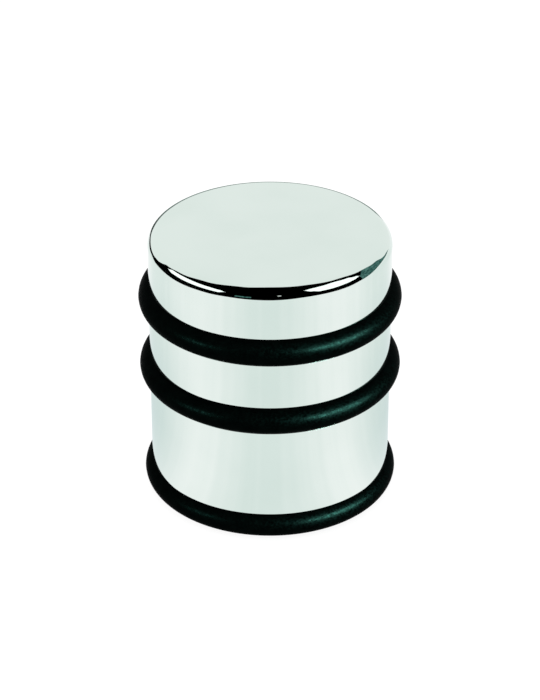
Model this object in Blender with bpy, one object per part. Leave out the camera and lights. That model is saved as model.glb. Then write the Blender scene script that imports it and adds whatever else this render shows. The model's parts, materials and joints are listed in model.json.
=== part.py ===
"""Free-standing weighted door holder: a chrome-plated steel shell over a steel weight, ringed in rubber.

Everything is turned about +Z, in metres. The floor is at Z = 0, under the centre of the foot pad.
A stud welded inside the roof passes down through the weight. Its nut pulls the base plate up against
the shell's rim, and the foot pad covers the nut. Three O-rings of one size guard the door and the foot.
"""

from math import acos, cos, degrees, floor, pi, radians, sin, sqrt

import bmesh
import bpy
from mathutils import Matrix

MM = 0.001

# Driving sizes
BODY_RADIUS = 32.5 * MM
HEIGHT = 75.0 * MM
SHEET = 0.9 * MM  # wall of the drawn shell
ROOF_EDGE_RADIUS = 3.1 * MM
LIP_RADIUS = 0.3 * MM  # outer edge of each rolled groove
CORD_RADIUS = 3.7 * MM  # section of all three O-rings
DOOR_RING_OUTSIDE = 35.25 * MM
FOOT_RING_OUTSIDE = 34.45 * MM
UPPER_RING_HEIGHT = 56.9 * MM
MIDDLE_RING_HEIGHT = 36.35 * MM
FLOOR_CLEARANCE = 0.1 * MM  # the foot ring hangs just clear of the floor, the pad stands on it
CLEARANCE = 0.3 * MM  # between neighbours that touch
FACE_GAP = 0.2 * MM  # between flat faces in the base's stack
SEAT_GAP = 0.25 * MM  # between an O-ring and its groove

# Sizes that follow
SEAT_RADIUS = CORD_RADIUS + SEAT_GAP
DOOR_RING_CENTRE = DOOR_RING_OUTSIDE - CORD_RADIUS
FOOT_RING_CENTRE = FOOT_RING_OUTSIDE - CORD_RADIUS
FOOT_RING_HEIGHT = CORD_RADIUS + FLOOR_CLEARANCE

# Foot pad, adhesive and base plate, from the floor up
PAD_RADIUS = 25.2 * MM
PAD_THICKNESS = 2.2 * MM
PAD_EDGE = 0.4 * MM
TREAD_RADII = (9.0 * MM, 14.0 * MM, 19.0 * MM)
TREAD_WIDTH = 1.4 * MM
TREAD_DEPTH = 0.6 * MM
FILM_THICKNESS = 0.2 * MM
FILM_INNER_RADIUS = 12.5 * MM
FILM_OUTER_RADIUS = 24.6 * MM
PLATE_SHEET = 1.2 * MM
PLATE_BOTTOM = PAD_THICKNESS + FILM_THICKNESS + 2 * FACE_GAP
PLATE_TOP = PLATE_BOTTOM + PLATE_SHEET
SKIRT_END_ANGLE = 215.0  # the plate's skirt ends here, counted round the foot ring's section
WELL_RADIUS = 9.2 * MM
WELL_ROOF = 13.0 * MM
WELL_BEND = 0.8 * MM  # inside radius of the bend round the well's roof
WELL_MOUTH_CHAMFER = 0.6 * MM
RIM_END = PLATE_TOP + CLEARANCE  # the shell's rim stands on the plate

# Weld stud, nut and washers (M6)
STUD_RADIUS = 3.0 * MM
STUD_CORE_RADIUS = 2.45 * MM
STUD_END = 3.2 * MM
STUD_CHAMFER = 0.6 * MM
THREAD_TOP = 18.0 * MM
THREAD_PITCH = 1.0 * MM
THREAD_RINGS_PER_TURN = 4
THREAD_FLAT = 0.08  # width of the thread's crest and root, as a share of the pitch
WELD_FLANGE_RADIUS = 3.75 * MM
WELD_FLANGE_THICKNESS = 1.0 * MM
HOLE_RADIUS = 3.3 * MM  # clearance hole for M6
WASHER_THICKNESS = 1.6 * MM
WASHER_RADIUS = 6.0 * MM
SPRING_WASHER_RADIUS = 5.9 * MM
SPRING_SPLIT = 12.0  # degrees left open in the spring washer
SPRING_RISE = 0.12 * MM
NUT_ACROSS_FLATS = 10.0 * MM
NUT_HEIGHT = 5.0 * MM
NUT_CHAMFER = 0.5 * MM

# Weight and its packing
WEIGHT_RADIUS = 25.0 * MM
WEIGHT_CHAMFER = 1.0 * MM
WEIGHT_BORE = 4.0 * MM
WEIGHT_COUNTERBORE = 11.2 * MM
CUSHION_THICKNESS = 2.0 * MM
CUSHION_RADIUS = 24.5 * MM
CUSHION_HOLE = 5.5 * MM
SLEEVE_THICKNESS = 1.1 * MM
SLEEVE_BOTTOM = 14.0 * MM
SLEEVE_TOP = 66.0 * MM

# Fineness of the turned shapes
AROUND = 40
AROUND_SMALL = 16
CORD_STEPS = 12
GROOVE_STEPS = 6
LIP_STEPS = 2
ROOF_EDGE_STEPS = 5
SMOOTH_ANGLE = radians(30)
MERGE_DISTANCE = 0.001 * MM


def material(name, colour, metallic, roughness):
    made = bpy.data.materials.new(name)
    made.use_nodes = True
    shader = made.node_tree.nodes["Principled BSDF"]
    shader.inputs["Base Color"].default_value = (*colour, 1.0)
    shader.inputs["Metallic"].default_value = metallic
    shader.inputs["Roughness"].default_value = roughness
    return made


def arc(centre, radius, start, end, steps):
    """Points (r, z) round a centre, with angles in degrees from +R towards +Z."""
    r, z = centre
    angles = [radians(start + (end - start) * i / steps) for i in range(steps + 1)]
    return [(r + radius * cos(a), z + radius * sin(a)) for a in angles]


def object_from(mesh_builder, name, look):
    """Turns a finished bmesh into a named, smooth-shaded object with one material."""
    bmesh.ops.remove_doubles(mesh_builder, verts=mesh_builder.verts, dist=MERGE_DISTANCE)
    bmesh.ops.recalc_face_normals(mesh_builder, faces=mesh_builder.faces)
    mesh = bpy.data.meshes.new(name)
    mesh_builder.to_mesh(mesh)
    mesh_builder.free()
    mesh.materials.append(look)
    mesh.shade_smooth()
    mesh.set_sharp_from_angle(angle=SMOOTH_ANGLE)
    made = bpy.data.objects.new(name, mesh)
    bpy.context.scene.collection.objects.link(made)
    return made


def turned(name, profile, look, around=AROUND):
    """A solid of revolution about Z from a closed outline of (r, z) points."""
    shape = bmesh.new()
    points = [shape.verts.new((r, 0.0, z)) for r, z in profile]
    edges = [shape.edges.new((a, b)) for a, b in zip(points, points[1:])]
    if profile[0][0] > 0.0 or profile[-1][0] > 0.0:
        edges.append(shape.edges.new((points[-1], points[0])))
    bmesh.ops.spin(
        shape,
        geom=points + edges,
        cent=(0.0, 0.0, 0.0),
        axis=(0.0, 0.0, 1.0),
        angle=2 * pi,
        steps=around,
    )
    return object_from(shape, name, look)


def lip_angles(ring_centre):
    """Where the lip's rounding leaves the body, as (height above the ring, tangent angle)."""
    reach = BODY_RADIUS - LIP_RADIUS - ring_centre
    height = sqrt((SEAT_RADIUS + LIP_RADIUS) ** 2 - reach**2)
    return height, degrees(acos(reach / (SEAT_RADIUS + LIP_RADIUS)))


def groove(height):
    """The shell's outline through one door-ring groove, from above it to below it."""
    lip_height, angle = lip_angles(DOOR_RING_CENTRE)
    lip_centre = BODY_RADIUS - LIP_RADIUS
    upper = arc((lip_centre, height + lip_height), LIP_RADIUS, 0, angle - 180, LIP_STEPS)
    seat = arc((DOOR_RING_CENTRE, height), SEAT_RADIUS, angle, 360 - angle, GROOVE_STEPS)
    lower = arc((lip_centre, height - lip_height), LIP_RADIUS, 180 - angle, 0, LIP_STEPS)
    return upper + seat[1:-1] + lower


def inner_groove(height):
    """The same groove seen from inside the shell, one sheet thickness away."""
    radius = SEAT_RADIUS + SHEET
    reach = BODY_RADIUS - SHEET - DOOR_RING_CENTRE
    angle = degrees(acos(reach / radius))
    return arc((DOOR_RING_CENTRE, height), radius, 360 - angle, angle, GROOVE_STEPS)


def shell_profile():
    edge_centre = (BODY_RADIUS - ROOF_EDGE_RADIUS, HEIGHT - ROOF_EDGE_RADIUS)
    lip_height, angle = lip_angles(FOOT_RING_CENTRE)
    foot = (FOOT_RING_CENTRE, FOOT_RING_HEIGHT)
    rim_angle = 180 - degrees((RIM_END - FOOT_RING_HEIGHT) / SEAT_RADIUS)
    outside = [(0.0, HEIGHT)]
    outside += arc(edge_centre, ROOF_EDGE_RADIUS, 90, 0, ROOF_EDGE_STEPS)
    outside += groove(UPPER_RING_HEIGHT)
    outside += groove(MIDDLE_RING_HEIGHT)
    foot_lip = (BODY_RADIUS - LIP_RADIUS, FOOT_RING_HEIGHT + lip_height)
    outside += arc(foot_lip, LIP_RADIUS, 0, angle - 180, LIP_STEPS)
    outside += arc(foot, SEAT_RADIUS, angle, rim_angle, 5)[1:]
    seat_back = SEAT_RADIUS + SHEET
    wall_angle = degrees(acos((BODY_RADIUS - SHEET - FOOT_RING_CENTRE) / seat_back))
    inside = arc(foot, seat_back, rim_angle, wall_angle, 4)
    inside += inner_groove(MIDDLE_RING_HEIGHT)
    inside += inner_groove(UPPER_RING_HEIGHT)
    inside += arc(edge_centre, ROOF_EDGE_RADIUS - SHEET, 0, 90, 3)
    inside += [(0.0, HEIGHT - SHEET)]
    return outside + inside


def base_plate_profile():
    """A pressed dish: a well for the nut, a flat for the weight, and a skirt under the foot ring."""
    foot = (FOOT_RING_CENTRE, FOOT_RING_HEIGHT)
    shoulder_angle = 180 - degrees((PLATE_TOP - FOOT_RING_HEIGHT) / SEAT_RADIUS)
    back = SEAT_RADIUS + PLATE_SHEET
    back_angle = 180 + degrees((FOOT_RING_HEIGHT - PLATE_BOTTOM) / back)
    outer_bend = WELL_BEND + PLATE_SHEET
    bend_centre = (WELL_RADIUS - WELL_BEND, WELL_ROOF - WELL_BEND)
    top = [(HOLE_RADIUS, WELL_ROOF + PLATE_SHEET)]
    top += arc(bend_centre, outer_bend, 90, 0, 3)
    top += [(WELL_RADIUS + PLATE_SHEET, PLATE_TOP)]
    top += arc(foot, SEAT_RADIUS, shoulder_angle, SKIRT_END_ANGLE, 4)
    bottom = arc(foot, back, SKIRT_END_ANGLE, back_angle, 4)
    bottom += [(WELL_RADIUS + WELL_MOUTH_CHAMFER, PLATE_BOTTOM)]
    bottom += [(WELL_RADIUS, PLATE_BOTTOM + WELL_MOUTH_CHAMFER)]
    bottom += arc(bend_centre, WELL_BEND, 0, 90, 2)
    bottom += [(HOLE_RADIUS, WELL_ROOF)]
    return top + bottom


def foot_pad_profile():
    """A rubber disc with round treads in its underside."""
    profile = [(0.0, PAD_THICKNESS), (PAD_RADIUS, PAD_THICKNESS)]
    profile += [(PAD_RADIUS, PAD_EDGE), (PAD_RADIUS - PAD_EDGE, 0.0)]
    for radius in reversed(TREAD_RADII):
        outer, inner = radius + TREAD_WIDTH / 2, radius - TREAD_WIDTH / 2
        profile += [(outer, 0.0), (outer, TREAD_DEPTH), (inner, TREAD_DEPTH), (inner, 0.0)]
    return profile + [(0.0, 0.0)]


def weight_profile(bottom, top):
    radius, chamfer = WEIGHT_RADIUS, WEIGHT_CHAMFER
    recess = WELL_ROOF + PLATE_SHEET + 2 * CLEARANCE
    return [
        (WEIGHT_BORE, top),
        (radius - chamfer, top),
        (radius, top - chamfer),
        (radius, bottom + chamfer),
        (radius - chamfer, bottom),
        (WEIGHT_COUNTERBORE, bottom),
        (WEIGHT_COUNTERBORE, recess),
        (WEIGHT_BORE, recess),
    ]


def box_ring_profile(inner, outer, bottom, top):
    return [(inner, top), (outer, top), (outer, bottom), (inner, bottom)]


def washer_profile(top):
    """A stamped washer whose upper outer edge is rounded off."""
    bevel = WASHER_THICKNESS / 4
    bottom = top - WASHER_THICKNESS
    return [
        (HOLE_RADIUS, top),
        (WASHER_RADIUS - bevel, top),
        (WASHER_RADIUS, top - bevel),
        (WASHER_RADIUS, bottom),
        (HOLE_RADIUS, bottom),
    ]


def thread_radius(turns):
    """Radius of the thread at a place counted in turns: a vee with narrow flats at crest and root."""
    from_crest = 2 * abs(turns - floor(turns) - 0.5)
    flank = min(1.0, max(0.0, (from_crest - THREAD_FLAT) / (1 - 2 * THREAD_FLAT)))
    return STUD_RADIUS - (STUD_RADIUS - STUD_CORE_RADIUS) * flank


def weld_stud(look):
    """A stud with a weld flange, rings of points running down it, and a thread wound round its end."""
    top = HEIGHT - SHEET - CLEARANCE
    flange_bottom = top - WELD_FLANGE_THICKNESS
    rings = [(top, WELD_FLANGE_RADIUS), (flange_bottom, WELD_FLANGE_RADIUS)]
    rings += [(flange_bottom - FACE_GAP, STUD_CORE_RADIUS), (THREAD_TOP, STUD_CORE_RADIUS)]
    count = round((THREAD_TOP - STUD_END) / THREAD_PITCH * THREAD_RINGS_PER_TURN)
    step = (THREAD_TOP - STUD_END) / count
    rings += [(THREAD_TOP - step * i, None) for i in range(1, count + 1)]
    shape = bmesh.new()
    loops = []
    for z, fixed in rings:
        loop = []
        for k in range(AROUND_SMALL):
            turn = k / AROUND_SMALL
            radius = fixed or min(
                thread_radius(z / THREAD_PITCH - turn),
                STUD_RADIUS - STUD_CHAMFER + max(0.0, z - STUD_END),
            )
            loop.append(shape.verts.new((radius * cos(2 * pi * turn), radius * sin(2 * pi * turn), z)))
        loops.append(loop)
    for above, below in zip(loops, loops[1:]):
        for k in range(AROUND_SMALL):
            after = (k + 1) % AROUND_SMALL
            shape.faces.new((above[k], below[k], below[after], above[after]))
    shape.faces.new(loops[0])
    shape.faces.new(reversed(loops[-1]))
    return object_from(shape, "weld_stud", look)


def spring_washer(bottom, look):
    """A split ring: a square section carried not quite all the way round, rising a little."""
    top = bottom + WASHER_THICKNESS - SPRING_RISE
    outline = box_ring_profile(HOLE_RADIUS, SPRING_WASHER_RADIUS, bottom, top)
    shape = bmesh.new()
    section = shape.faces.new([shape.verts.new((r, 0.0, z)) for r, z in outline])
    bmesh.ops.spin(
        shape,
        geom=[section],
        cent=(0.0, 0.0, 0.0),
        axis=(0.0, 0.0, 1.0),
        dvec=(0.0, 0.0, SPRING_RISE / AROUND_SMALL),
        angle=radians(360 - SPRING_SPLIT),
        steps=AROUND_SMALL,
    )
    return object_from(shape, "spring_washer", look)


def cut(target, cutter, operation):
    modifier = target.modifiers.new(cutter.name, "BOOLEAN")
    modifier.operation = operation
    modifier.object = cutter
    cutter.hide_render = True
    cutter.display_type = "WIRE"


def hex_nut(bottom, look):
    """A hexagonal prism, bored, and trimmed by a turned blank that rounds off its corners."""
    corner = NUT_ACROSS_FLATS / 2 / cos(pi / 6)
    shape = bmesh.new()
    bmesh.ops.create_cone(
        shape,
        cap_ends=True,
        segments=6,
        radius1=corner,
        radius2=corner,
        depth=NUT_HEIGHT,
        matrix=Matrix.Translation((0.0, 0.0, bottom + NUT_HEIGHT / 2)),
    )
    nut = object_from(shape, "hex_nut", look)
    flat, top = NUT_ACROSS_FLATS / 2, bottom + NUT_HEIGHT
    over = CLEARANCE  # the blank stands proud of the prism, so that no faces coincide
    inner = STUD_RADIUS + FACE_GAP
    slope = NUT_CHAMFER / (corner - flat)
    blank = turned(
        "nut_blank",
        [
            (inner, top + over),
            (flat - over / slope, top + over),
            (corner + over, top - slope * (corner + over - flat)),
            (corner + over, bottom + slope * (corner + over - flat)),
            (flat - over / slope, bottom - over),
            (inner, bottom - over),
        ],
        look,
    )
    cut(nut, blank, "INTERSECT")
    return nut


def o_ring(name, centre_radius, height, look):
    return turned(name, arc((centre_radius, height), CORD_RADIUS, 0, 360, CORD_STEPS)[:-1], look)


def build():
    chrome = material("polished_chrome", (0.80, 0.83, 0.82), 1.0, 0.04)
    rubber = material("black_rubber", (0.012, 0.014, 0.014), 0.0, 0.55)
    pad_rubber = material("pad_rubber", (0.020, 0.021, 0.022), 0.0, 0.80)
    mill_steel = material("mill_steel", (0.30, 0.29, 0.28), 1.0, 0.45)
    zinc = material("zinc_plated_steel", (0.62, 0.64, 0.66), 1.0, 0.30)
    board = material("packing_board", (0.42, 0.36, 0.28), 0.0, 0.95)
    foam = material("black_foam", (0.05, 0.05, 0.05), 0.0, 0.90)
    film = material("adhesive_film", (0.75, 0.72, 0.62), 0.0, 0.40)

    turned("shell", shell_profile(), chrome)
    o_ring("upper_ring", DOOR_RING_CENTRE, UPPER_RING_HEIGHT, rubber)
    o_ring("middle_ring", DOOR_RING_CENTRE, MIDDLE_RING_HEIGHT, rubber)
    o_ring("foot_ring", FOOT_RING_CENTRE, FOOT_RING_HEIGHT, rubber)

    turned("foot_pad", foot_pad_profile(), pad_rubber)
    film_bottom = PAD_THICKNESS + FACE_GAP
    film_top = film_bottom + FILM_THICKNESS
    film_ring = box_ring_profile(FILM_INNER_RADIUS, FILM_OUTER_RADIUS, film_bottom, film_top)
    turned("pad_adhesive", film_ring, film)
    turned("base_plate", base_plate_profile(), zinc)

    cushion_top = HEIGHT - SHEET - CLEARANCE
    cushion_bottom = cushion_top - CUSHION_THICKNESS
    cushion_ring = box_ring_profile(CUSHION_HOLE, CUSHION_RADIUS, cushion_bottom, cushion_top)
    turned("roof_cushion", cushion_ring, foam)
    turned("weight", weight_profile(RIM_END, cushion_bottom - FACE_GAP), mill_steel)
    inside = WEIGHT_RADIUS + CLEARANCE
    sleeve_ring = box_ring_profile(inside, inside + SLEEVE_THICKNESS, SLEEVE_BOTTOM, SLEEVE_TOP)
    turned("weight_sleeve", sleeve_ring, board)

    weld_stud(zinc)
    washer_top = WELL_ROOF - FACE_GAP
    turned("plain_washer", washer_profile(washer_top), zinc, AROUND_SMALL)
    spring_bottom = washer_top - 2 * WASHER_THICKNESS - FACE_GAP
    spring_washer(spring_bottom, zinc)
    hex_nut(spring_bottom - FACE_GAP - NUT_HEIGHT, zinc)


for old in list(bpy.data.objects):
    bpy.data.objects.remove(old)
build()
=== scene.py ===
"""Looks for the weighted door holder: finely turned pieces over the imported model, and a pale studio.

Lengths are in metres. Azimuths are in degrees: 0 is the side that the camera is on, growing towards +X.
"""

import json
from math import acos, cos, degrees, pi, radians, sin, sqrt

import bmesh
import bpy
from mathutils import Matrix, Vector


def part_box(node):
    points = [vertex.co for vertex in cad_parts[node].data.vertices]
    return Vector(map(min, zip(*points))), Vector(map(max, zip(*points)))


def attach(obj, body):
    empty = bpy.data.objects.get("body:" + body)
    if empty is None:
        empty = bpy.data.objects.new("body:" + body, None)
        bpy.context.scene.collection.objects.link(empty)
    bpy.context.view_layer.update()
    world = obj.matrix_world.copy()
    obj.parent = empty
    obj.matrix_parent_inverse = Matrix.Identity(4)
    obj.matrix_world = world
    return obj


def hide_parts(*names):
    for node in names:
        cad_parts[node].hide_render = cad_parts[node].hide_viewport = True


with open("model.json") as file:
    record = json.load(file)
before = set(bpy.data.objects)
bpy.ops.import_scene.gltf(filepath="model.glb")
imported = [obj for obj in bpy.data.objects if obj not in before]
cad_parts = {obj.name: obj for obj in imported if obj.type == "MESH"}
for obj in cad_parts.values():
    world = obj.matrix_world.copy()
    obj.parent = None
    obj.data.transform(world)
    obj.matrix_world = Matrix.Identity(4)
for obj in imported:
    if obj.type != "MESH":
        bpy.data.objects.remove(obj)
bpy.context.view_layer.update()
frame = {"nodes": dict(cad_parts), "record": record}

MM = 0.001
SHELL_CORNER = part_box("shell")[1]
RECORD_COLOURS = {row["slot"]: row["base_color"][:3] for row in frame["record"]["materials"]}

# Fineness
AROUND = 240
CORD_STEPS = 64
LIP_STEPS = 8
SEAT_STEPS = 30
FOOT_SEAT_STEPS = 20
ROOF_EDGE_STEPS = 40
ROOF_INSIDE_STEPS = 12
SOFT_EDGE_STEPS = 6
HOLLOW_RIM_STEPS = 4
SMOOTH_ANGLE = 35.0
MERGE_DISTANCE = 0.001 * MM

# The turned pieces' sizes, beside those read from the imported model
SHEET = 0.9 * MM
ROOF_EDGE_RADIUS = 3.1 * MM
LIP_RADIUS = 0.3 * MM
SEAT_GAP = 0.15 * MM
FOOT_RING_STRETCH = 0.15 * MM
UPPER_RING_SWELL = 0.03
FLASH_HEIGHT = 0.03 * MM
FLASH_HALF_ANGLE = 4.0
PAD_EDGE_RADIUS = 0.4 * MM
HOLLOW_RADII = (19.0 * MM, 14.0 * MM, 9.0 * MM)
HOLLOW_WIDTH = 1.4 * MM
HOLLOW_DEPTH = 0.6 * MM
HOLLOW_RIM_RADIUS = 0.2 * MM
HOLLOW_CORNER_RADIUS = 0.3 * MM
FOAM_HOLE_RADIUS = 5.5 * MM
FOAM_EDGE_SHARE = 0.3

# Camera: its distance is measured from a point on the part's axis, and it looks down by its pitch
CAMERA_DISTANCE = 714.0 * MM
CAMERA_TARGET_HEIGHT = 27.8 * MM
CAMERA_HEIGHT = 394.0 * MM
CAMERA_PITCH = 30.07
CAMERA_LENS = 134.4
CAMERA_SENSOR = 36.0

# Floor, and the glowing card on it, seen only in the chrome, that paints the floor's reflection there
FLOOR_RADIUS = 3.0
FLOOR_STEPS = 96
FLOOR_GLOW = 0.9
CARD_INNER_RADIUS = 36.0 * MM
CARD_OUTER_RADIUS = 1.5
CARD_HEIGHT = 0.3 * MM
CARD_STEPS = 90
CARD_FANS = 3
CARD_PALE = (0.935, 0.965, 0.965)
# Painted light: the brighter colour of the card's broad fans
CARD_PAINTED_LIGHT = (1.14, 1.10, 1.12)
# Painted shadow: the card darkens to this colour close to the object on both sides behind, within this
# reach and between these azimuths
CARD_PAINTED_SHADOW = (0.74, 0.82, 0.83)
PAINTED_SHADOW_REACH = (140 * MM, 60 * MM)
PAINTED_SHADOW_AZIMUTHS = (60, 125)

# Panels that light the rubber alone, as (name, (azimuth, elevation), (width, height), radiance)
PANEL_DISTANCE = 1.2
PANEL_TINT = (0.55, 1.0, 0.9)
PANELS = (
    ("right_panel", (59, 18), (1.05, 0.34), 330.0),
    ("left_panel", (-60, 10), (0.5, 0.14), 70.0),
)

# A flag hugs the roof's edge: a flat washer just above it, turned down into a hoop round it. The edge
# mirrors the flag, and the flat roof doesn't: the flag is a sheet seen in gloss alone, and its colours are
# painted reflections in the edge. Places on it are in mm from the corner between the two parts: below 0 in
# the washer, above 0 down the hoop. Its rims are (azimuth, place) corners.
FLAG_ABOVE_ROOF = 0.2 * MM
FLAG_STAND_OFF = 1.5 * MM
FLAG_STEPS_PER_DEGREE = 2
FLAG_ROWS = 24
FLAG_INNER_RIM = (
    (-180, -2.9),
    (-150, -3.3),
    (-125, -2.6),
    (-110, 0.2),
    (-95, 0.9),
    (-76, 1.5),
    (-71, 1.2),
    (-60, -1.5),
    (-49, -2.15),
    (-33, -2.95),
    (-14, -3.7),
    (0, -4.15),
    (15, -4.0),
    (34, -3.5),
    (50, -2.85),
    (62, -2.25),
    (78, 0.6),
    (84, 1.2),
    (110, 1.2),
    (130, -1.2),
    (155, -2.4),
)
FLAG_OUTER_RIM = (
    (-180, 2.9),
    (-112, 2.7),
    (-95, 1.9),
    (-80, 2.6),
    (-70, 3.4),
    (-50, 3.8),
    (-32, 3.4),
    (-18, 3.0),
    (0, 3.0),
    (18, 2.6),
    (40, 2.9),
    (50, 2.6),
    (73, 1.5),
    (84, 1.2),
    (110, 1.2),
    (130, 2.9),
)

# Openings in the flag, filled with glowing white that paints highlight strips in the roof's edge, as
# (azimuth, place of the upper side, place of the lower side)
LONG_OPENING = (
    (-61, 0.3, 0.3),
    (-55, -1.15, 1.2),
    (-45, -1.05, 1.45),
    (-32, -0.7, 1.45),
    (-26, -0.3, 1.45),
    (-22, 0.5, 0.5),
)
WIDE_OPENING = (
    (16, -1.9, -1.9),
    (21, -2.35, -0.6),
    (25, -2.5, 0.6),
    (32, -2.75, 0.75),
    (40, -2.45, 0.65),
    (46, -1.6, 0.4),
    (50, -0.5, -0.5),
)
OPENINGS = (LONG_OPENING, WIDE_OPENING)
PAINTED_HIGHLIGHT_GLOW = 1.5

# The flag's stretches, which paint the reflections in the roof's edge: grey behind the object, black in
# front, a fade between them on the left, and a teal end
FLAG_BACK = (-276, -180)
FLAG_FRONT = (-180, 50)
FLAG_END = (50, 84)
FLAG_FADE = (-135, -95)
FLAG_GREY = (0.24, 0.30, 0.28)
FLAG_BLACK = (0.0, 0.0, 0.0)
TEAL_DARK = (0.02, 0.08, 0.072)
TEAL_PALE = (0.13, 0.27, 0.25)

# Small marks laid on the hoop, a painted teal reflection streak and a painted white glint, as (azimuths,
# places)
PAINTED_TEAL_STREAK = ((-17, -9), (1.55, 2.15))
WHITE_GLINT = ((3.6, 5.4), (0.45, 0.75))
MARK_INSET = 0.1 * MM


# ---------------------------------------------------------------- nodes


def new_material(name, metallic, roughness):
    look = bpy.data.materials.new(name)
    look.use_nodes = True
    shader = look.node_tree.nodes["Principled BSDF"]
    shader.inputs["Metallic"].default_value = metallic
    shader.inputs["Roughness"].default_value = roughness
    return look, look.node_tree, shader.inputs


def maths(tree, operation, *sources):
    """A maths node fed from sockets or constants."""
    made = tree.nodes.new("ShaderNodeMath")
    made.operation = operation
    for source, target in zip(sources, made.inputs):
        if isinstance(source, bpy.types.NodeSocket):
            tree.links.new(source, target)
        else:
            target.default_value = source
    return made.outputs[0]


def vector_maths(tree, operation, vector):
    made = tree.nodes.new("ShaderNodeVectorMath")
    made.operation = operation
    tree.links.new(vector, made.inputs[0])
    return made


def length(tree, vector):
    return vector_maths(tree, "LENGTH", vector).outputs["Value"]


def place(tree, stretch=(1.0, 1.0, 1.0)):
    """Object coordinates, in metres, scaled along each axis."""
    coordinates = tree.nodes.new("ShaderNodeTexCoord").outputs["Object"]
    scaled = vector_maths(tree, "MULTIPLY", coordinates)
    scaled.inputs[1].default_value = stretch
    return scaled.outputs[0]


def place_parts(tree):
    """Object coordinates as separate X, Y and Z outputs."""
    split = tree.nodes.new("ShaderNodeSeparateXYZ")
    tree.links.new(place(tree), split.inputs[0])
    return split.outputs


def joined(tree, **parts):
    """A vector from its parts by axis. A part left out is 0."""
    made = tree.nodes.new("ShaderNodeCombineXYZ")
    for axis, source in parts.items():
        tree.links.new(source, made.inputs[axis])
    return made.outputs[0]


def turned_place(tree, round_scale, line_scale):
    """Coordinates that change slowly round +Z and quickly along the profile, for marks left by turning."""
    parts = place_parts(tree)
    radius = length(tree, joined(tree, X=parts["X"], Y=parts["Y"]))
    return joined(
        tree,
        X=maths(tree, "MULTIPLY", parts["X"], round_scale),
        Y=maths(tree, "MULTIPLY", parts["Y"], round_scale),
        Z=maths(tree, "MULTIPLY", maths(tree, "ADD", radius, parts["Z"]), line_scale),
    )


def azimuth_of(tree):
    """The azimuth of the place shaded, in radians."""
    parts = place_parts(tree)
    return maths(tree, "ARCTAN2", parts["X"], maths(tree, "MULTIPLY", parts["Y"], -1.0))


def noise(tree, where, scale=1.0, detail=3.0, roughness=0.5):
    made = tree.nodes.new("ShaderNodeTexNoise")
    tree.links.new(where, made.inputs["Vector"])
    made.inputs["Scale"].default_value = scale
    made.inputs["Detail"].default_value = detail
    made.inputs["Roughness"].default_value = roughness
    return made.outputs["Fac"]


def cells(tree, where, scale):
    made = tree.nodes.new("ShaderNodeTexVoronoi")
    tree.links.new(where, made.inputs["Vector"])
    made.inputs["Scale"].default_value = scale
    return made.outputs["Distance"]


def ranged(tree, value, from_range, to_range=(0.0, 1.0)):
    made = tree.nodes.new("ShaderNodeMapRange")
    tree.links.new(value, made.inputs["Value"])
    made.inputs["From Min"].default_value, made.inputs["From Max"].default_value = from_range
    made.inputs["To Min"].default_value, made.inputs["To Max"].default_value = to_range
    return made.outputs["Result"]


def blended(tree, factor, first, second):
    """A colour between two others, each a constant or a socket."""
    made = tree.nodes.new("ShaderNodeMix")
    made.data_type = "RGBA"
    tree.links.new(factor, made.inputs["Factor"])
    for colour, target in ((first, made.inputs["A"]), (second, made.inputs["B"])):
        if isinstance(colour, bpy.types.NodeSocket):
            tree.links.new(colour, target)
        else:
            target.default_value = (*colour, 1.0)
    return made.outputs["Result"]


def colour_by(tree, shader, value, span, first, second):
    """Colours a shader from the first colour to the second as a value crosses a span."""
    tree.links.new(blended(tree, ranged(tree, value, span), first, second), shader["Base Color"])


def roughness_by(tree, shader, value, span, roughnesses):
    tree.links.new(ranged(tree, value, span, roughnesses), shader["Roughness"])


def bumps(tree, shader, *layers):
    """Stacks (height, depth in metres) layers of bump on a shader."""
    normal = None
    for height, depth in layers:
        made = tree.nodes.new("ShaderNodeBump")
        made.inputs["Distance"].default_value = depth
        tree.links.new(height, made.inputs["Height"])
        if normal:
            tree.links.new(normal, made.inputs["Normal"])
        normal = made.outputs["Normal"]
    tree.links.new(normal, shader["Normal"])


def shade(colour, factor):
    return tuple(channel * factor for channel in colour)


# ---------------------------------------------------------------- materials


def polished_chrome():
    """Mirror plate with faint buffing lines, a trace of waviness, and a thin haze of handling."""
    look, tree, shader = new_material("polished_chrome", 1.0, 0.03)
    tone = noise(tree, place(tree), scale=55.0, detail=2.0)
    colour_by(tree, shader, tone, (0.35, 0.65), (0.690, 0.785, 0.738), (0.715, 0.805, 0.760))
    haze = noise(tree, place(tree), scale=130.0, detail=4.0, roughness=0.6)
    roughness_by(tree, shader, haze, (0.4, 0.75), (0.018, 0.055))
    buffing = noise(tree, turned_place(tree, 60.0, 9000.0), detail=2.0)
    waves = noise(tree, place(tree), scale=45.0, detail=1.0)
    bumps(tree, shader, (waves, 0.012 * MM), (buffing, 0.00006 * MM))
    return look


def ring_rubber():
    """Moulded black rubber: speckled gloss over a lumpy skin, and a faint bloom. What it mirrors is faint
    face on and rises late towards grazing, so the white studio doesn't grey the rings' outlines."""
    look, tree, shader = new_material("ring_rubber", 0.0, 0.45)
    shader["Specular IOR Level"].default_value = 0.0015
    shader["Specular Tint"].default_value = (2.7, 6.0, 5.4, 1.0)
    mottle = noise(tree, place(tree), scale=420.0, detail=5.0, roughness=0.65)
    colour_by(tree, shader, mottle, (0.4, 0.7), (0.0001, 0.0003, 0.00025), (0.0006, 0.0013, 0.0011))
    speckle = noise(tree, place(tree), scale=1500.0, detail=4.0, roughness=0.7)
    roughness_by(tree, shader, speckle, (0.38, 0.62), (0.17, 0.52))
    peel = noise(tree, place(tree), scale=1900.0, detail=4.0, roughness=0.65)
    lumps = noise(tree, place(tree), scale=330.0, detail=3.0, roughness=0.55)
    bumps(tree, shader, (lumps, 0.08 * MM), (peel, 0.04 * MM))
    return look


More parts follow.
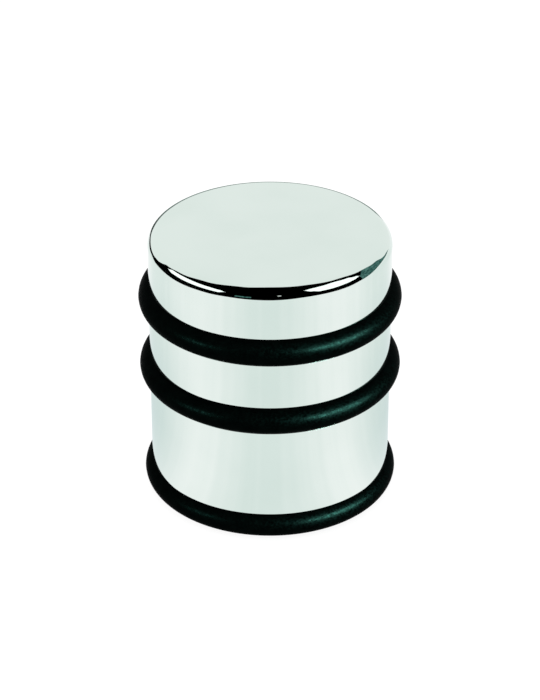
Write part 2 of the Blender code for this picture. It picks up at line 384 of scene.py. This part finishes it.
def pad_rubber():
    """Matt black rubber with a pebbled, moulded skin, greyed a little where it is worn."""
    look, tree, shader = new_material("pad_rubber", 0.0, 0.8)
    shader["Specular IOR Level"].default_value = 0.25
    wear = noise(tree, place(tree), scale=160.0, detail=4.0, roughness=0.6)
    base = RECORD_COLOURS["pad_rubber"]
    colour_by(tree, shader, wear, (0.4, 0.7), base, shade(base, 2.2))
    roughness_by(tree, shader, wear, (0.3, 0.7), (0.88, 0.66))
    pebbles = cells(tree, place(tree), 1400.0)
    bumps(tree, shader, (pebbles, 0.05 * MM), (wear, 0.05 * MM))
    return look


def zinc_plate():
    """Bright zinc: pale, slightly blue, with a crystalline tone and fine scratches from pressing."""
    look, tree, shader = new_material("zinc_plate", 1.0, 0.3)
    base = RECORD_COLOURS["zinc_plated_steel"]
    spangle = cells(tree, place(tree), 700.0)
    colour_by(tree, shader, spangle, (0.0, 0.8), shade(base, 0.86), shade(base, 1.08))
    cloud = noise(tree, place(tree), scale=210.0, detail=4.0)
    roughness_by(tree, shader, cloud, (0.3, 0.7), (0.22, 0.42))
    lines = noise(tree, turned_place(tree, 40.0, 3500.0), detail=2.0)
    bumps(tree, shader, (lines, 0.004 * MM))
    return look


def mill_steel():
    """Sawn and turned bar stock: dark, oiled, with coarse tool rings and brown traces of scale."""
    look, tree, shader = new_material("mill_steel", 1.0, 0.45)
    base = RECORD_COLOURS["mill_steel"]
    brown = (base[0] * 0.75, base[1] * 0.58, base[2] * 0.45)
    scale = noise(tree, place(tree), scale=90.0, detail=6.0, roughness=0.7)
    colour_by(tree, shader, scale, (0.45, 0.7), base, brown)
    roughness_by(tree, shader, scale, (0.3, 0.7), (0.32, 0.62))
    rings = noise(tree, turned_place(tree, 25.0, 2200.0), detail=3.0)
    bumps(tree, shader, (rings, 0.02 * MM))
    return look


def packing_board():
    """Wound paperboard: grey-brown fibres, lying mostly round the tube."""
    look, tree, shader = new_material("packing_board", 0.0, 0.9)
    base = RECORD_COLOURS["packing_board"]
    fibres = noise(tree, place(tree, (1.0, 1.0, 5.0)), scale=380.0, detail=6.0, roughness=0.7)
    colour_by(tree, shader, fibres, (0.35, 0.65), shade(base, 0.7), shade(base, 1.25))
    bumps(tree, shader, (fibres, 0.08 * MM))
    return look


def closed_cell_foam():
    """Black foam with a skin of small closed cells."""
    look, tree, shader = new_material("closed_cell_foam", 0.0, 0.92)
    base = RECORD_COLOURS["foam"]
    bubbles = cells(tree, place(tree), 1900.0)
    colour_by(tree, shader, bubbles, (0.0, 0.7), shade(base, 0.5), shade(base, 1.8))
    bumps(tree, shader, (bubbles, 0.2 * MM))
    return look


def adhesive_film():
    """Creamy double-sided film, with cloudy patches where it has wetted the rubber."""
    look, tree, shader = new_material("adhesive_film", 0.0, 0.4)
    base = RECORD_COLOURS["adhesive_film"]
    patches = noise(tree, place(tree), scale=240.0, detail=4.0)
    colour_by(tree, shader, patches, (0.4, 0.6), shade(base, 0.8), base)
    roughness_by(tree, shader, patches, (0.4, 0.6), (0.3, 0.6))
    bumps(tree, shader, (patches, 0.01 * MM))
    return look


# ---------------------------------------------------------------- turned pieces


def arc(centre, radius, start, end, steps):
    """Points (r, z) round a centre, with angles in degrees from +R towards +Z."""
    r, z = centre
    angles = [radians(start + (end - start) * i / steps) for i in range(steps + 1)]
    return [(r + radius * cos(a), z + radius * sin(a)) for a in angles]


def turned(name, profile, look, slot, *nodes):
    """A finely turned piece from a closed (r, z) outline, standing for the CAD nodes named."""
    shape = bmesh.new()
    points = [shape.verts.new((r, 0.0, z)) for r, z in profile]
    edges = [shape.edges.new(pair) for pair in zip(points, points[1:])]
    if profile[0][0] > 0.0 or profile[-1][0] > 0.0:
        edges.append(shape.edges.new((points[-1], points[0])))
    bmesh.ops.spin(
        shape,
        geom=points + edges,
        cent=(0.0, 0.0, 0.0),
        axis=(0.0, 0.0, 1.0),
        angle=2 * pi,
        steps=AROUND,
    )
    bmesh.ops.remove_doubles(shape, verts=shape.verts, dist=MERGE_DISTANCE)
    bmesh.ops.recalc_face_normals(shape, faces=shape.faces)
    mesh = bpy.data.meshes.new(name)
    shape.to_mesh(mesh)
    shape.free()
    mesh.materials.append(look)
    mesh.shade_smooth()
    mesh.set_sharp_from_angle(angle=radians(SMOOTH_ANGLE))
    piece = bpy.data.objects.new(name, mesh)
    bpy.context.scene.collection.objects.link(piece)
    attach(piece, "root")
    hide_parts(*nodes)
    return piece


class Ring:
    """One O-ring's place and size, read from its CAD node. A ring stretched round its groove is a little
    thinner, and one squeezed between its groove's lips swells up and down."""

    def __init__(self, node, stretch=0.0, swell=0.0):
        low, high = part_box(node)
        self.cord = (high.z - low.z) / 2 - stretch
        self.height = low.z + self.cord
        self.centre = high.x - self.cord
        self.swell = swell
        self.seat = self.cord + SEAT_GAP


def lip(ring, body_radius):
    """How far above a ring its groove's lip is centred, and the angle at which lip and seat meet."""
    reach = body_radius - LIP_RADIUS - ring.centre
    away = ring.seat + LIP_RADIUS
    return sqrt(away**2 - reach**2), degrees(acos(reach / away))


def upper_lip(ring, body_radius):
    height, angle = lip(ring, body_radius)
    return arc((body_radius - LIP_RADIUS, ring.height + height), LIP_RADIUS, 0, angle - 180, LIP_STEPS)


def groove_outside(ring, body_radius):
    """A groove's lips and seat, from the top down."""
    height, angle = lip(ring, body_radius)
    seat = arc((ring.centre, ring.height), ring.seat, angle, 360 - angle, SEAT_STEPS)
    lower_centre = (body_radius - LIP_RADIUS, ring.height - height)
    lower = arc(lower_centre, LIP_RADIUS, 180 - angle, 0, LIP_STEPS)
    return upper_lip(ring, body_radius) + seat[1:-1] + lower


def wall_angle(ring, body_radius):
    """The angle at which the back of a ring's seat meets the inside of the wall."""
    return degrees(acos((body_radius - SHEET - ring.centre) / (ring.seat + SHEET)))


def groove_inside(ring, body_radius):
    """The back of a groove's seat, from the bottom up."""
    angle = wall_angle(ring, body_radius)
    return arc((ring.centre, ring.height), ring.seat + SHEET, 360 - angle, angle, SEAT_STEPS)


def shell_piece(upper, middle, foot, look):
    """The pressed shell: its outside from the roof's centre down, then its inside back up."""
    low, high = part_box("shell")
    radius, top, rim = high.x, high.z, low.z
    edge = (radius - ROOF_EDGE_RADIUS, top - ROOF_EDGE_RADIUS)
    foot_centre = (foot.centre, foot.height)
    rim_angle = 180 - degrees((rim - foot.height) / foot.seat)
    outside = [(0.0, top)]
    outside += arc(edge, ROOF_EDGE_RADIUS, 90, 0, ROOF_EDGE_STEPS)
    outside += groove_outside(upper, radius)
    outside += groove_outside(middle, radius)
    outside += upper_lip(foot, radius)
    outside += arc(foot_centre, foot.seat, lip(foot, radius)[1], rim_angle, FOOT_SEAT_STEPS)[1:]
    foot_wall_angle = wall_angle(foot, radius)
    inside = arc(foot_centre, foot.seat + SHEET, rim_angle, foot_wall_angle, FOOT_SEAT_STEPS)
    inside += groove_inside(middle, radius)
    inside += groove_inside(upper, radius)
    inside += arc(edge, ROOF_EDGE_RADIUS - SHEET, 0, 90, ROOF_INSIDE_STEPS)
    inside += [(0.0, top - SHEET)]
    return turned("chromed_shell", outside + inside, look, "polished_chrome", "shell")


def ring_piece(name, ring, look, node):
    """An O-ring with the hairline flash that its mould leaves round the widest and the narrowest part."""
    profile = []
    for step in range(CORD_STEPS):
        angle = 360 * step / CORD_STEPS
        off_flash = min(angle % 180, 180 - angle % 180)
        inset = FLASH_HEIGHT if off_flash > FLASH_HALF_ANGLE else 0.0
        r, z = arc((0.0, 0.0), ring.cord - inset, angle, angle, 1)[0]
        profile.append((ring.centre + r, ring.height + z * (1 + ring.swell)))
    return turned(name, profile, look, "ring_rubber", node)


def pad_hollow(middle, floor_height):
    """The outline of one ring-shaped hollow between treads, from its outer rim to its inner one."""
    outer, inner = middle + HOLLOW_WIDTH / 2, middle - HOLLOW_WIDTH / 2
    rim, corner = HOLLOW_RIM_RADIUS, HOLLOW_CORNER_RADIUS
    corner_height = floor_height + HOLLOW_DEPTH - corner
    profile = arc((outer + rim, floor_height + rim), rim, -90, -180, HOLLOW_RIM_STEPS)
    profile += arc((outer - corner, corner_height), corner, 0, 90, SOFT_EDGE_STEPS)
    profile += arc((inner + corner, corner_height), corner, 90, 180, SOFT_EDGE_STEPS)
    profile += arc((inner - rim, floor_height + rim), rim, 0, -90, HOLLOW_RIM_STEPS)
    return profile


def foot_pad_piece(look):
    """The pad's disc, with its treads and softened rims."""
    low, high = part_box("foot_pad")
    edge = PAD_EDGE_RADIUS
    profile = [(0.0, high.z)]
    profile += arc((high.x - edge, high.z - edge), edge, 90, 0, SOFT_EDGE_STEPS)
    profile += arc((high.x - edge, low.z + edge), edge, 0, -90, SOFT_EDGE_STEPS)
    for middle in HOLLOW_RADII:
        profile += pad_hollow(middle, low.z)
    profile += [(0.0, low.z)]
    return turned("tread_pad", profile, look, "pad_rubber", "foot_pad")


def foam_piece(look):
    """The foam disc under the roof, a little rounded where it was cut and squeezed."""
    low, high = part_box("roof_cushion")
    edge = (high.z - low.z) * FOAM_EDGE_SHARE
    outer, inner = high.x - edge, FOAM_HOLE_RADIUS + edge
    upper, lower = high.z - edge, low.z + edge
    profile = arc((outer, upper), edge, 90, 0, SOFT_EDGE_STEPS)
    profile += arc((outer, lower), edge, 0, -90, SOFT_EDGE_STEPS)
    profile += arc((inner, lower), edge, 270, 180, SOFT_EDGE_STEPS)
    profile += arc((inner, upper), edge, 180, 90, SOFT_EDGE_STEPS)
    piece = turned("foam_disc", profile, look, "foam", "roof_cushion")
    return piece


def paint(look, *nodes):
    """Gives carried-over CAD nodes their material."""
    for node in nodes:
        mesh = frame["nodes"][node].data
        mesh.materials.clear()
        mesh.materials.append(look)


def make_pieces():
    """Makes and paints everything, and returns the three rings."""
    upper = Ring("upper_ring", swell=UPPER_RING_SWELL)
    middle = Ring("middle_ring")
    foot = Ring("foot_ring", stretch=FOOT_RING_STRETCH)
    shell_piece(upper, middle, foot, polished_chrome())
    rubber = ring_rubber()
    rings = [
        ring_piece("upper_bumper", upper, rubber, "upper_ring"),
        ring_piece("middle_bumper", middle, rubber, "middle_ring"),
        ring_piece("foot_bumper", foot, rubber, "foot_ring"),
    ]
    foot_pad_piece(pad_rubber())
    foam_piece(closed_cell_foam())
    paint(zinc_plate(), "base_plate", "weld_stud", "plain_washer", "spring_washer", "hex_nut")
    paint(mill_steel(), "weight")
    paint(packing_board(), "weight_sleeve")
    paint(adhesive_film(), "pad_adhesive")
    return rings


# ---------------------------------------------------------------- studio helpers


def stage_object(name, data):
    made = bpy.data.objects.new(name, data)
    bpy.context.scene.collection.objects.link(made)
    return made


def only_reflected(thing):
    """Leaves a sheet to be seen in gloss alone: it throws no shadow and isn't in the picture."""
    thing.visible_camera = False
    thing.visible_diffuse = False
    thing.visible_transmission = False
    thing.visible_volume_scatter = False
    thing.visible_shadow = False


def grid_object(name, rows, look):
    """A sheet through rows of points."""
    points = [point for row in rows for point in row]
    wide = len(rows[0])
    faces = [
        (r * wide + c, r * wide + c + 1, (r + 1) * wide + c + 1, (r + 1) * wide + c)
        for r in range(len(rows) - 1)
        for c in range(wide - 1)
    ]
    mesh = bpy.data.meshes.new(name)
    mesh.from_pydata(points, [], faces)
    mesh.materials.append(look)
    return stage_object(name, mesh)


def glow(name, colour, strength=1.0):
    """A plain emitter for cards and flags."""
    look = bpy.data.materials.new(name)
    look.use_nodes = True
    tree = look.node_tree
    tree.nodes.remove(tree.nodes["Principled BSDF"])
    emission = tree.nodes.new("ShaderNodeEmission")
    emission.inputs["Color"].default_value = (*colour, 1.0)
    emission.inputs["Strength"].default_value = strength
    tree.links.new(emission.outputs[0], tree.nodes["Material Output"].inputs["Surface"])
    return look


def glow_colour(look, colour):
    """Feeds an emitter's colour from a socket."""
    look.node_tree.links.new(colour, look.node_tree.nodes["Emission"].inputs["Color"])


def toward(azimuth, elevation, distance):
    a, e = radians(azimuth), radians(elevation)
    return Vector((sin(a) * cos(e), -cos(a) * cos(e), sin(e))) * distance


def steps_between(start, end, count):
    return [start + (end - start) * i / count for i in range(count + 1)]


def eased(corners, azimuth):
    """The values at an azimuth, eased between corners that go up in azimuth, or None outside them."""
    for (a0, *first), (a1, *second) in zip(corners, corners[1:]):
        if a0 <= azimuth <= a1:
            share = (1 - cos(pi * (azimuth - a0) / (a1 - a0))) / 2
            return [one + (other - one) * share for one, other in zip(first, second)]
    return None


# ---------------------------------------------------------------- flag at the roof's edge


def rim_place(rim, azimuth):
    """A closed rim's place at any azimuth."""
    start = rim[0][0]
    return eased((*rim, (start + 360, rim[0][1])), (azimuth - start) % 360 + start)[0]


def inner_rim(azimuth):
    return rim_place(FLAG_INNER_RIM, azimuth)


def outer_rim(azimuth):
    return rim_place(FLAG_OUTER_RIM, azimuth)


def opening_side(azimuth, side):
    """The place of an opening's upper (0) or lower (1) side, or of the flag's middle where it is closed."""
    inner, outer = inner_rim(azimuth), outer_rim(azimuth)
    found = next(filter(None, (eased(corners, azimuth) for corners in OPENINGS)), None)
    wanted = found[side] if found else (inner + outer) / 2
    return min(max(wanted, inner), outer)


def opening_top(azimuth):
    return opening_side(azimuth, 0)


def opening_foot(azimuth):
    return opening_side(azimuth, 1)


def flag_point(azimuth, place_on_flag, inset):
    """A point on the flag: on the washer for places below 0, and on the hoop for places above 0."""
    radius = SHELL_CORNER.x + FLAG_STAND_OFF + MM * min(0.0, place_on_flag) - inset
    height = SHELL_CORNER.z + FLAG_ABOVE_ROOF - MM * max(0.0, place_on_flag)
    return (radius * sin(radians(azimuth)), -radius * cos(radians(azimuth)), height)


def flag_sheet(name, azimuths, sides, look, inset=0.0):
    """A stretch of the flag between two sides, each given by a function of azimuth."""
    start, end = azimuths
    turns = steps_between(start, end, max(8, round((end - start) * FLAG_STEPS_PER_DEGREE)))
    places = [steps_between(sides[0](turn), sides[1](turn), FLAG_ROWS) for turn in turns]
    rows = [
        [flag_point(turn, across[row], inset) for turn, across in zip(turns, places)]
        for row in range(FLAG_ROWS + 1)
    ]
    only_reflected(grid_object(name, rows, look))


def flag_mark(name, mark, look):
    """A small patch laid on the hoop."""
    azimuths, (upper, lower) = mark
    flag_sheet(name, azimuths, (lambda azimuth: upper, lambda azimuth: lower), look, inset=MARK_INSET)


def teal_glow():
    """Blotchy teal glow, a painted reflection of a tinted wall in the edge."""
    look = glow("flag_teal", TEAL_PALE)
    tree = look.node_tree
    blotches = noise(tree, place(tree), scale=900.0, detail=4.0, roughness=0.7)
    glow_colour(look, blended(tree, ranged(tree, blotches, (0.4, 0.65)), TEAL_DARK, TEAL_PALE))
    return look


def black_glow():
    """A painted reflection in the edge: black on the camera's side, fading to glowing grey behind the
    object's left side.
    """
    look = glow("flag_black", FLAG_BLACK)
    tree = look.node_tree
    fade = ranged(tree, azimuth_of(tree), [radians(azimuth) for azimuth in FLAG_FADE])
    glow_colour(look, blended(tree, fade, FLAG_GREY, FLAG_BLACK))
    return look


def make_flags():
    grey = glow("flag_grey", FLAG_GREY)
    black = black_glow()
    teal = teal_glow()
    # Painted highlights: the openings glow white, brighter than the studio
    white = glow("flag_painted_highlight", (1.0, 1.0, 1.0), PAINTED_HIGHLIGHT_GLOW)
    stretches = (("flag_back", FLAG_BACK, grey), ("flag", FLAG_FRONT, black), ("flag_end", FLAG_END, teal))
    for name, azimuths, look in stretches:
        flag_sheet(name + "_washer", azimuths, (inner_rim, opening_top), look)
        flag_sheet(name + "_hoop", azimuths, (opening_foot, outer_rim), look)
    for number, corners in enumerate(OPENINGS):
        azimuths = (corners[0][0], corners[-1][0])
        flag_sheet(f"flag_highlight_strip_{number}", azimuths, (opening_top, opening_foot), white)
    # Painted reflections: a teal streak and a white glint on the hoop
    flag_mark("flag_painted_streak", PAINTED_TEAL_STREAK, teal)
    flag_mark("flag_glint", WHITE_GLINT, white)


# ---------------------------------------------------------------- floor, light and camera


def floor_card():
    """A pale glowing card on the floor, seen only in the chrome, that paints the floor's reflection there:
    broad fans of it are a little brighter, which is painted light, and it falls off close to the object on
    both sides behind, which is a painted shadow."""
    look = glow("floor_card", CARD_PALE)
    tree = look.node_tree
    azimuth = azimuth_of(tree)
    # Painted light: three broad fans of the card are brighter
    fans = maths(tree, "COSINE", maths(tree, "MULTIPLY", azimuth, CARD_FANS))
    spokes = vector_maths(tree, "NORMALIZE", place(tree)).outputs[0]
    streaks = ranged(tree, noise(tree, spokes, scale=9.0), (0.3, 0.7), (-0.12, 0.12))
    pattern = maths(tree, "ADD", ranged(tree, fans, (1.0, -1.0)), streaks)
    pale = blended(tree, pattern, CARD_PALE, CARD_PAINTED_LIGHT)
    # Painted shadow: darker close to the object on both sides behind
    near = ranged(tree, length(tree, place(tree)), PAINTED_SHADOW_REACH)
    behind = ranged(tree, maths(tree, "ABSOLUTE", azimuth), [radians(side) for side in PAINTED_SHADOW_AZIMUTHS])
    glow_colour(look, blended(tree, maths(tree, "MULTIPLY", near, behind), pale, CARD_PAINTED_SHADOW))
    lift = Vector((0.0, 0.0, CARD_HEIGHT))
    rows = [
        [toward(turn, 0, radius) + lift for turn in steps_between(0, 360, CARD_STEPS)]
        for radius in (CARD_INNER_RADIUS, CARD_OUTER_RADIUS)
    ]
    only_reflected(grid_object("floor_card", rows, look))


def rubber_light(name, aim, size, radiance, receivers):
    """A soft panel that glints in the rubber rings alone, and so leaves the chrome and the floor plain."""
    light = bpy.data.lights.new(name, "AREA")
    light.shape = "RECTANGLE"
    light.size, light.size_y = size
    light.color = PANEL_TINT
    light.energy = radiance * pi * size[0] * size[1]
    made = stage_object(name, light)
    made.location = toward(*aim, PANEL_DISTANCE)
    made.rotation_mode = "QUATERNION"
    made.rotation_quaternion = made.location.to_track_quat("Z", "Y")
    made.visible_camera = False
    made.visible_diffuse = False
    made.light_linking.receiver_collection = receivers


def make_rubber_lights(rings):
    receivers = bpy.data.collections.new("rubber_rings")
    for ring in rings:
        receivers.objects.link(ring)
    for name, aim, size, radiance in PANELS:
        rubber_light(name, aim, size, radiance, receivers)


def make_floor():
    """A pale light table: it glows, so that shadows on it stay faint, and it is clear from below."""
    look, tree, shader = new_material("light_table", 0.0, 1.0)
    shader["Base Color"].default_value = (0.2, 0.2, 0.2, 1.0)
    shader["Specular IOR Level"].default_value = 0.0
    shader["Emission Color"].default_value = (1.0, 1.0, 1.0, 1.0)
    shader["Emission Strength"].default_value = FLOOR_GLOW
    clear = tree.nodes.new("ShaderNodeBsdfTransparent")
    side = tree.nodes.new("ShaderNodeNewGeometry")
    chosen = tree.nodes.new("ShaderNodeMixShader")
    tree.links.new(side.outputs["Backfacing"], chosen.inputs["Fac"])
    tree.links.new(tree.nodes["Principled BSDF"].outputs[0], chosen.inputs[1])
    tree.links.new(clear.outputs[0], chosen.inputs[2])
    tree.links.new(chosen.outputs[0], tree.nodes["Material Output"].inputs["Surface"])
    shape = bmesh.new()
    bmesh.ops.create_circle(shape, cap_ends=True, segments=FLOOR_STEPS, radius=FLOOR_RADIUS)
    mesh = bpy.data.meshes.new("floor")
    shape.to_mesh(mesh)
    shape.free()
    mesh.materials.append(look)
    stage_object("floor", mesh)


def make_world():
    world = bpy.data.worlds.new("pale_studio")
    world.use_nodes = True
    background = world.node_tree.nodes["Background"]
    background.inputs["Color"].default_value = (1.0, 1.0, 1.0, 1.0)
    background.inputs["Strength"].default_value = 1.0
    bpy.context.scene.world = world


def make_camera():
    data = bpy.data.cameras.new("camera")
    data.lens = CAMERA_LENS
    data.sensor_width = CAMERA_SENSOR
    data.clip_start, data.clip_end = 0.01, 20.0
    camera = bpy.data.objects.new("camera", data)
    bpy.context.scene.collection.objects.link(camera)
    back = sqrt(CAMERA_DISTANCE**2 - (CAMERA_HEIGHT - CAMERA_TARGET_HEIGHT) ** 2)
    camera.location = (0.0, -back, CAMERA_HEIGHT)
    camera.rotation_euler = (radians(90 - CAMERA_PITCH), 0.0, 0.0)
    bpy.context.scene.camera = camera


ring_pieces = make_pieces()
make_floor()
make_world()
make_flags()
floor_card()
make_rubber_lights(ring_pieces)
make_camera()
bpy.context.scene.view_settings.view_transform = "Standard"
